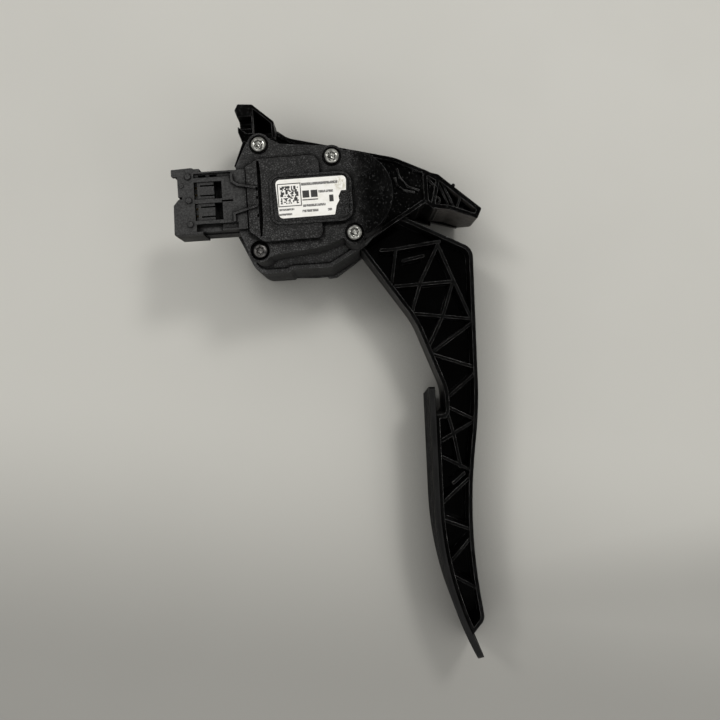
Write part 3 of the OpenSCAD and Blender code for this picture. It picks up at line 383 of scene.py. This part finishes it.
def coverFinish(tree, place, colour, rough, texture):
    marks = coverMarks
    across, along = axesOf(tree, place)[:2]

    # pebbled grain on the cover and fine speckle in the socket, with painted sheen making the grain paler
    # towards negative X and Y
    grained = remapSpan(tree, across, marks["grained"])
    pale = remapSpan(tree, across, marks["sheenAcross"], *marks["sheenLevels"])
    pale = plus(tree, pale, remapSpan(tree, along, marks["sheenAlong"], 0.0, marks["sheenPalerBy"]))
    speckle = remap(tree, noiseAt(tree, place, marks["speckleScale"], 3, 0.65), *marks["speckle"])
    domes = minus(tree, pebbles(tree, place, marks["pebble"]), speckle)
    domes = calc(tree, "MULTIPLY_ADD", domes, grained, speckle)
    domeColour = addNode(tree, "ShaderNodeCombineColor", {0: pale, 1: pale, 2: pale}).outputs[0]
    domeColour = mixColour(tree, marks["grainCover"], colour, domeColour)
    grooveColour = mixColour(tree, marks["grainCover"], colour, grey(marks["grooveShade"]))
    colour = mixColour(tree, domes, grooveColour, domeColour)
    texture = plus(tree, texture, times(tree, domes, marks["grainDepth"]))

    # round end
    smooth = remapSpan(tree, across, marks["smooth"])
    texture = times(tree, texture, remap(tree, smooth, 0.0, 1.0, 1.0, marks["smoothTexture"]))
    colour = mixColour(tree, times(tree, smooth, marks["smoothCover"]), colour, grey(marks["smoothShade"]))
    glints = remap(tree, noiseAt(tree, place, marks["glintScale"], 3, 0.6), *marks["glintBand"])
    texture = plus(tree, texture, times(tree, smooth, times(tree, glints, marks["smoothGlint"])))
    rough = minus(tree, rough, times(tree, smooth, marks["smoothRough"]))

    # painted shade on the walls, and in the dish round the shaded screw
    # painted shade on walls
    wall = remap(tree, axesOf(tree, faceNormal(tree))[2], *steepBand, 0.0, marks["wallCover"])
    colour = mixColour(tree, wall, colour, grey(marks["wallPaintedShade"]))
    # painted shade in the dish
    dish = remapSpan(tree, distanceTo(tree, place, marks["dish"]), marks["dishEdge"])
    colour = mixColour(tree, dish, colour, grey(marks["dishPaintedShade"]))
    rough = minus(tree, rough, times(tree, dish, marks["dishRough"]))

    # creased remains of the label
    residue = inBox(tree, across, along, marks["residueCentre"], marks["residueSize"])
    creases = times(tree, noiseAt(tree, place, marks["creaseScale"], 4, 0.5, 1.5), marks["creaseDepth"])
    colour = mixColour(tree, times(tree, residue, marks["residueCover"]), colour, grey(marks["residueShade"]))
    rough = minus(tree, rough, times(tree, residue, marks["residueRough"]))
    texture = plus(tree, texture, times(tree, residue, creases))
    return colour, rough, texture, 0.0


# Metals: fine grained, tarnished in patches, and dark in their hollows as painted shade

metalLook = {       # grain in mm
    "zincSteel": {
        "bright": (0.46, 0.46, 0.43, 1), "dull": (0.16, 0.16, 0.15, 1),
        "rough": (0.14, 0.30), "grain": 0.25},
    # darker zinc as painted shade, for the screw in the shaded dish
    "shadedZinc": {
        "bright": (0.14, 0.135, 0.13, 1), "dull": (0.035, 0.035, 0.035, 1),
        "rough": (0.28, 0.50), "grain": 0.25},
    "pinSteel": {
        "bright": (0.60, 0.60, 0.60, 1), "dull": (0.36, 0.36, 0.37, 1),
        "rough": (0.18, 0.32), "grain": 0.2},
    "springSteel": {
        "bright": (0.42, 0.41, 0.40, 1), "dull": (0.16, 0.16, 0.16, 1),
        "rough": (0.28, 0.46), "grain": 0.3},
    "bushBronze": {
        "bright": (0.55, 0.38, 0.16, 1), "dull": (0.30, 0.19, 0.08, 1),
        "rough": (0.30, 0.48), "grain": 0.3},
    "terminalBrass": {
        "bright": (0.72, 0.55, 0.24, 1), "dull": (0.45, 0.32, 0.13, 1),
        "rough": (0.20, 0.38), "grain": 0.2},
}

metalWear = {       # shared by all of them; round, depth and crease in mm
    "patchScale": 400, "tarnishBand": (0.38, 0.66), "roughBand": (0.3, 0.7),
    "round": 0.12, "depth": 0.006, "crease": 1.1, "creaseBand": (0.35, 0.85, 0.1, 1.0),
}

def wornMetal(name, look):
    wear = metalWear
    material, tree, shader = newMaterial(name, 1.0)
    place = ownPlace(tree)
    patches = noiseAt(tree, place, wear["patchScale"], 5, 0.6)
    fine = noiseAt(tree, place, 1 / (look["grain"] * mm), 4, 0.6)
    bump = addNode(tree, "ShaderNodeBump", {
        "Height": fine, "Normal": roundedNormal(tree, wear["round"]), "Distance": wear["depth"] * mm})
    # painted shade in hollows and recesses
    hollowShade = remap(tree, openness(tree, wear["crease"]), *wear["creaseBand"])
    colour = mixColour(tree, remap(tree, patches, *wear["tarnishBand"]), look["bright"], look["dull"])
    colour = mixColour(tree, 1.0, colour, hollowShade, "MULTIPLY")
    setShader(tree, shader, colour, remap(tree, patches, *wear["roughBand"], *look["rough"]), bump)
    return material


# Plain inner pieces: board, chips, rotor, magnets, shoe and rubber

innerLook = {       # grain in mm
    "boardGreen": {
        "dark": (0.006, 0.040, 0.016, 1), "pale": (0.012, 0.075, 0.030, 1),
        "rough": (0.28, 0.45), "grain": 0.8},
    "chipBlack": {
        "dark": (0.006, 0.006, 0.007, 1), "pale": (0.014, 0.014, 0.015, 1),
        "rough": (0.40, 0.60), "grain": 0.2},
    "rotorPlastic": {
        "dark": (0.020, 0.024, 0.030, 1), "pale": (0.036, 0.042, 0.050, 1),
        "rough": (0.35, 0.50), "grain": 0.5},
    "magnetGrey": {
        "dark": (0.10, 0.10, 0.11, 1), "pale": (0.20, 0.20, 0.21, 1),
        "rough": (0.35, 0.60), "grain": 0.3},
    "shoePlastic": {
        "dark": (0.20, 0.16, 0.09, 1), "pale": (0.34, 0.29, 0.18, 1),
        "rough": (0.40, 0.60), "grain": 0.6},
    "rubberSeal": {
        "dark": (0.004, 0.004, 0.004, 1), "pale": (0.012, 0.012, 0.012, 1),
        "rough": (0.65, 0.85), "grain": 0.3},
}

innerWear = {       # shared by all of them; depth in mm
    "cloudScale": 250, "cloudBand": (0.35, 0.65), "roughBand": (0.3, 0.7), "depth": 0.02,
}

def innerFinish(name, look):
    wear = innerWear
    material, tree, shader = newMaterial(name)
    place = ownPlace(tree)
    cloudy = noiseAt(tree, place, wear["cloudScale"])
    fine = noiseAt(tree, place, 1 / (look["grain"] * mm), 4, 0.6)
    bump = addNode(tree, "ShaderNodeBump", {"Height": fine, "Distance": wear["depth"] * mm})
    colour = mixColour(tree, remap(tree, cloudy, *wear["cloudBand"]), look["dark"], look["pale"])
    setShader(tree, shader, colour, remap(tree, fine, *wear["roughBand"], *look["rough"]), bump)
    return material


# Label: white film, a little soiled, with plain bars and a square of random cells for print

labelLook = {       # places and sizes in mm
    "white": (0.93, 0.92, 0.88, 1), "soiled": (0.56, 0.53, 0.42, 1), "ink": (0.014, 0.014, 0.015, 1),
    "inkCover": 0.985,
    "turn": -0.8,                                   # degrees, print against the housing
    "squareCentre": (-26.9, 0.75), "squareOuter": (10.5, 10.3), "squareGap": 0.8,
    "cell": 0.52, "emptyCells": 0.42,               # share of the square's cells that stay white
    "solid": [
        [(-19.6, 0.6), (3.0, 3.2)],
        [(-15.9, 0.6), (3.0, 3.2)],
        [(-17.8, -1.95), (7.0, 0.5)],
        [(-8.4, -2.0), (1.9, 3.0)],
    ],
    "broken": [
        [(-13.3, 5.05), (16.2, 1.2)],
        [(-10.7, 1.3), (6.5, 1.1)],
        [(-16.2, -4.5), (10.0, 1.1)],
        [(-18.1, -6.85), (7.1, 1.1)],
        [(-9.4, -6.95), (1.8, 1.1)],
        [(-28.6, -5.7), (6.8, 0.9)],
        [(-29.2, -7.8), (5.8, 0.9)],
    ],
    "printScale": 1900, "printStretch": (1.0, 0.45, 1.0), "printBand": (0.36, 0.46, 0.15, 0.85),
    "wornScale": 1500, "wornBand": (0.24, 0.36),
    "stainCentre": (-4.4, 4.0, 58), "stain": (4.2, 1.2),
    "blotchScale": 650, "blotchBand": (0.38, 0.60),
    "grimeScale": 260, "grimeBand": (0.45, 0.75), "grime": 0.25,
    "roughBand": (0.3, 0.7), "rough": (0.38, 0.60), "depth": 0.03,
}

def printedFilm(name, look):
    material, tree, shader = newMaterial(name)
    place = ownPlace(tree)
    turned = stretched(tree, place, (1, 1, 1), (0, 0, math.radians(look["turn"])))
    across, along = axesOf(tree, turned)[:2]

    # square of random cells inside a thin frame
    outer, inner, field = [
        inBox(tree, across, along, look["squareCentre"],
              [side - gaps * look["squareGap"] for side in look["squareOuter"]])
        for gaps in (0, 1, 3)]
    cellSize = [look["cell"] * mm] * 3
    cells = addNode(tree, "ShaderNodeVectorMath", {0: turned, 1: cellSize}, operation="SNAP").outputs[0]
    cells = addNode(tree, "ShaderNodeTexWhiteNoise", {"Vector": cells}).outputs[0]
    cells = calc(tree, "GREATER_THAN", cells, look["emptyCells"])
    ink = larger(tree, minus(tree, outer, inner), times(tree, field, cells))
    for centre, size in look["solid"]:
        ink = larger(tree, ink, inBox(tree, across, along, centre, size))

    # broken bars stand for small print
    small = noiseAt(tree, stretched(tree, place, look["printStretch"]), look["printScale"], 2, 0.7)
    small = remap(tree, small, *look["printBand"])
    for centre, size in look["broken"]:
        ink = larger(tree, ink, times(tree, small, inBox(tree, across, along, centre, size)))
    ink = times(tree, ink, remap(tree, noiseAt(tree, place, look["wornScale"], 3, 0.6), *look["wornBand"]))

    # yellowed patch beside the tear, and faint grime all over
    blotch = noiseAt(tree, place, look["blotchScale"], 4, 0.6, 0.6)
    stain = remapSpan(tree, distanceTo(tree, place, look["stainCentre"]), look["stain"])
    stain = times(tree, stain, remap(tree, blotch, *look["blotchBand"]))
    grime = remap(tree, noiseAt(tree, place, look["grimeScale"], 5), *look["grimeBand"])
    grime = times(tree, grime, look["grime"])
    paper = mixColour(tree, larger(tree, stain, grime), look["white"], look["soiled"])
    colour = mixColour(tree, times(tree, ink, look["inkCover"]), paper, look["ink"])
    bump = addNode(tree, "ShaderNodeBump", {"Height": blotch, "Distance": look["depth"] * mm})
    setShader(tree, shader, colour, remap(tree, blotch, *look["roughBand"], *look["rough"]), bump)
    return material


# Finishes for the frame's own nodes

partMarks = {"coverPlastic": coverFinish, "housingPlastic": housingFinish, "armPlastic": armFinish}
finishes = {name: mouldedPlastic(name, look, partMarks.get(name)) for name, look in plasticLook.items()}
finishes.update({name: wornMetal(name, look) for name, look in metalLook.items()})
finishes.update({name: innerFinish(name, look) for name, look in innerLook.items()})
finishes["labelPaper"] = printedFilm("labelPaper", labelLook)

nodeFinish = {
    "housing": "housingPlastic", "housing_lid": "housingPlastic",
    "sensor_cover": "coverPlastic", "cover_gasket": "rubberSeal", "idle_bumper": "rubberSeal",
    "pedal_arm": "armPlastic", "foot_plate": "footPlatePlastic", "spring_seat": "housingPlastic",
    "friction_shoe": "shoePlastic", "label": "labelPaper",
    "circuit_board": "boardGreen", "sensor_chips": "chipBlack", "connector_terminals": "terminalBrass",
    "sensor_rotor": "rotorPlastic", "rotor_magnets": "magnetGrey",
    "pivot_pin": "pinSteel", "near_bush": "bushBronze", "far_bush": "bushBronze",
}
for nodeName, finishName in nodeFinish.items():
    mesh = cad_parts[nodeName].data
    mesh.materials.clear()
    mesh.materials.append(finishes[finishName])
print("finishes: %d made" % len(finishes))


# Mesh helpers

def once(items):
    # without repeats, in the order they come
    return list(dict.fromkeys(items))

def edgesOf(vertices):
    return once(edge for vertex in vertices for edge in vertex.link_edges)

def newPiece(name, bm, material):
    mesh = bpy.data.meshes.new(name)
    bm.to_mesh(mesh)
    bm.free()
    mesh.materials.append(material)
    piece = bpy.data.objects.new(name, mesh)
    bpy.context.scene.collection.objects.link(piece)
    return piece


# Cover screws: pan heads with a six-lobed recess, turned from one profile

screwLook = {       # radii and heights in mm
    "head": 3.45, "height": 2.3, "shank": 1.5, "length": 11,
    "pointIn": 0.6, "pointUp": 0.8, "rim": 0.2,
    "dome": [(1, 0.42), (0.95, 0.64), (0.86, 0.80), (0.72, 0.92)],  # shares of the head's radius and height
    "lip": (0.25, 0.985),                                           # outside the recess, share of height
    "recess": 1.75, "lobes": 6, "lobe": 0.22,
    "socket": [(0.04, 0), (-0.05, -0.10), (-0.22, -1.3)],           # from the recess's radius and the top
    "steps": 72, "turn": 91,                                        # turn in degrees
    "shaded": "cover_screw_4",
}

def ring(bm, look, radius, height, lobe):
    made = bmesh.ops.create_circle(bm, cap_ends=False, segments=look["steps"], radius=radius * mm)
    for vertex in made["verts"]:
        angle = math.atan2(vertex.co.y, vertex.co.x)
        vertex.co *= 1 + lobe * math.cos(look["lobes"] * angle) / radius
        vertex.co.z = height * mm
    return edgesOf(made["verts"])

def coverScrew(nodeName, look):
    bm = bmesh.new()
    head, height, shank, length = look["head"], look["height"], look["shank"], look["length"]
    recess = look["recess"]
    lipOut, lipUp = look["lip"]
    profile = [
        (shank - look["pointIn"], -length, 0), (shank, look["pointUp"] - length, 0), (shank, 0, 0),
        (head - look["rim"], 0, 0), (head, look["rim"], 0)]
    profile += [(head * wide, height * tall, 0) for wide, tall in look["dome"]]
    profile += [(recess + lipOut, height * lipUp, 0)]
    profile += [(recess + out, height + up, look["lobe"]) for out, up in look["socket"]]
    rings = [ring(bm, look, *point) for point in profile]
    for lower, upper in zip(rings, rings[1:]):
        bmesh.ops.bridge_loops(bm, edges=lower + upper)
    for end in (rings[0], rings[-1]):
        bmesh.ops.contextual_create(bm, geom=end)
    bmesh.ops.recalc_face_normals(bm, faces=bm.faces)
    low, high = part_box(nodeName)
    seat = high.z - height * mm
    bmesh.ops.rotate(bm, verts=bm.verts, matrix=Matrix.Rotation(math.radians(look["turn"]), 3, "Z"))
    bmesh.ops.translate(bm, verts=bm.verts, vec=((low.x + high.x) / 2, (low.y + high.y) / 2, seat))
    # the screw in the shaded dish gets the darker zinc as painted shade
    zinc = "shadedZinc" if nodeName == look["shaded"] else "zincSteel"
    piece = newPiece(nodeName + "_turned", bm, finishes[zinc])
    piece.data.shade_smooth()
    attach(piece, "housing")
    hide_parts(nodeName)

screwNames = [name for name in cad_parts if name.startswith("cover_screw")]
for screwName in screwNames:
    coverScrew(screwName, screwLook)
print("screws: %d turned" % len(screwNames))


# Return springs: round wire wound along the lever's stroke, closed at both ends

springLook = {      # coil is a radius and wire a thickness, in mm; start in degrees
    "outer_return_spring": {"coil": 7.2, "wire": 1.8, "turns": 6, "start": 0},
    "inner_return_spring": {"coil": 4.3, "wire": 1.2, "turns": 8, "start": 180},
}
wireCorners = 12
turnSteps = 24

def returnSpring(nodeName, look):
    low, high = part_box(nodeName)
    length = high.y - low.y
    wire = look["wire"] * mm
    stages = [(1, wire), (look["turns"] - 2, length - 3 * wire), (1, wire)]     # closed, open, closed
    bm = bmesh.new()
    made = bmesh.ops.create_circle(bm, cap_ends=False, segments=wireCorners, radius=wire / 2)
    bmesh.ops.rotate(bm, verts=made["verts"], matrix=Matrix.Rotation(math.pi / 2, 3, "X"))
    bmesh.ops.translate(bm, verts=made["verts"], vec=(look["coil"] * mm, 0, wire / 2))
    section = edgesOf(made["verts"])
    ends = [section]
    for turns, rise in stages:
        steps = turns * turnSteps
        corners = once(vertex for edge in section for vertex in edge.verts)
        wound = bmesh.ops.spin(bm, geom=section + corners, cent=(0, 0, 0), axis=(0, 0, 1),
                               dvec=(0, 0, rise / steps), angle=math.tau * turns, steps=steps,
                               use_merge=False)
        section = [item for item in wound["geom_last"] if isinstance(item, bmesh.types.BMEdge)]
    ends.append(section)
    for end in ends:
        bmesh.ops.contextual_create(bm, geom=end)
    bmesh.ops.remove_doubles(bm, verts=bm.verts, dist=1e-7)
    bmesh.ops.recalc_face_normals(bm, faces=bm.faces)
    bmesh.ops.rotate(bm, verts=bm.verts, matrix=Matrix.Rotation(math.radians(look["start"]), 3, "Z"))
    bmesh.ops.rotate(bm, verts=bm.verts, matrix=Matrix.Rotation(-math.pi / 2, 3, "X"))
    seat = Vector(((low.x + high.x) / 2, low.y, (low.z + high.z) / 2))
    bmesh.ops.translate(bm, verts=bm.verts, vec=seat)
    piece = newPiece(nodeName + "_wound", bm, finishes["springSteel"])
    piece.data.shade_smooth()
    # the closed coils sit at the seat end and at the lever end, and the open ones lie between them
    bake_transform(piece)
    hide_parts(nodeName)

for springName, look in springLook.items():
    returnSpring(springName, look)
print("springs: wound")


# Floor: pale warm grey bench top, with painted shadow making it darker towards negative Y

floorLook = {
    "size": 3.0, "drop": 0.05,                                      # in metres, and in mm under the object
    "far": (0.572, 0.566, 0.530, 1), "near": (0.325, 0.320, 0.300, 1),
    "slantedShadowFade": (-105, -250), "slant": 0.15,                     # along Y in mm, plus this share of X
    "nearShadowFade": (-150, -210), "nearDepth": 0.75,
    "mottleScale": 6, "mottle": (0.4, 0.7, 0, 0.08), "mottleShade": 0.75,
    "contact": 32, "contactBand": (0.35, 1.0), "shadow": 0.5,       # soft shadow close to the object
    "roughBand": (0.3, 0.7), "rough": (0.55, 0.7), "grainScale": 1500, "depth": 0.01,
}

def benchPaint(look):
    material, tree, shader = newMaterial("benchPaint")
    place = ownPlace(tree)
    across, along = axesOf(tree, place)[:2]
    # painted shadow, darker towards negative Y and a little towards negative X
    slanted = calc(tree, "MULTIPLY_ADD", across, look["slant"], along)
    slantedShadowFade = remapSpan(tree, slanted, look["slantedShadowFade"])
    nearShadowFade = remapSpan(tree, along, look["nearShadowFade"], 0, look["nearDepth"])
    colour = mixColour(tree, larger(tree, slantedShadowFade, nearShadowFade), look["far"], look["near"])
    clouds = noiseAt(tree, place, look["mottleScale"])
    mottle = remap(tree, clouds, *look["mottle"])
    colour = mixColour(tree, mottle, colour, grey(look["mottleShade"]), "MULTIPLY")
    # painted soft shadow, darker where the object stands close
    shadow = remap(tree, openness(tree, look["contact"], 8), *look["contactBand"], look["shadow"], 1.0)
    colour = mixColour(tree, 1.0, colour, shadow, "MULTIPLY")
    bump = addNode(tree, "ShaderNodeBump", {
        "Height": noiseAt(tree, place, look["grainScale"], 3), "Distance": look["depth"] * mm})
    setShader(tree, shader, colour, remap(tree, clouds, *look["roughBand"], *look["rough"]), bump)
    return material

def benchTop(look):
    bm = bmesh.new()
    bmesh.ops.create_grid(bm, x_segments=1, y_segments=1, size=look["size"] / 2)
    bmesh.ops.translate(bm, verts=bm.verts, vec=(0, 0, cadLow.z - look["drop"] * mm))
    floor = newPiece("benchTop", bm, benchPaint(look))

benchTop(floorLook)
print("floor: laid")


# Light: ceiling panels off to the sides, so that level faces mirror the dark between them

lightLook = {
    "size": 0.28, "tint": (1, 0.985, 0.96), "aim": (0, -0.07, 0.02),
    "panels": {
        "panelFarRight": {"place": (0.60, 0.70, 1.20), "power": 5.6},
        "panelNearRight": {"place": (0.85, -0.80, 1.00), "power": 0.9},
        "panelFarLeft": {"place": (-0.80, 0.60, 1.20), "power": 3.6},
        "panelNearLeft": {"place": (-0.60, -0.90, 1.00), "power": 0.6},
    },
}

def lightPanel(name, look):
    lamp = bpy.data.lights.new(name, "AREA")
    lamp.shape = "SQUARE"
    lamp.size = look["size"]
    lamp.energy = look["panels"][name]["power"]
    lamp.color = look["tint"]
    panel = bpy.data.objects.new(name, lamp)
    panel.location = look["panels"][name]["place"]
    aim = Vector(look["aim"]) - panel.location
    panel.rotation_euler = aim.to_track_quat("-Z", "Y").to_euler()
    bpy.context.scene.collection.objects.link(panel)

for panelName in lightLook["panels"]:
    lightPanel(panelName, lightLook)


# Sky: an even room, with a brighter ring high up and a dark ceiling inside it

skyLook = {
    "tint": (1, 0.99, 0.965, 1), "level": 0.50, "ring": 1.1, "zenith": 0.03,
    "ringBand": (0.60, 0.70), "clearBand": (0.93, 0.82),            # sines of the angle above level
}

def skyLight(look):
    world = bpy.data.worlds.new("room")
    bpy.context.scene.world = world
    world.use_nodes = True
    tree = world.node_tree
    tree.nodes.clear()
    height = axesOf(tree, addNode(tree, "ShaderNodeTexCoord").outputs["Generated"])[2]
    ringGlow = remap(tree, height, *look["ringBand"])
    clear = remap(tree, height, *look["clearBand"], look["zenith"], 1.0)
    glow = calc(tree, "MULTIPLY_ADD", ringGlow, look["ring"] - look["level"], look["level"])
    glow = times(tree, glow, clear)
    back = addNode(tree, "ShaderNodeBackground", {"Color": look["tint"], "Strength": glow})
    tree.links.new(back.outputs[0], addNode(tree, "ShaderNodeOutputWorld").inputs[0])

skyLight(skyLook)
print("light: set")
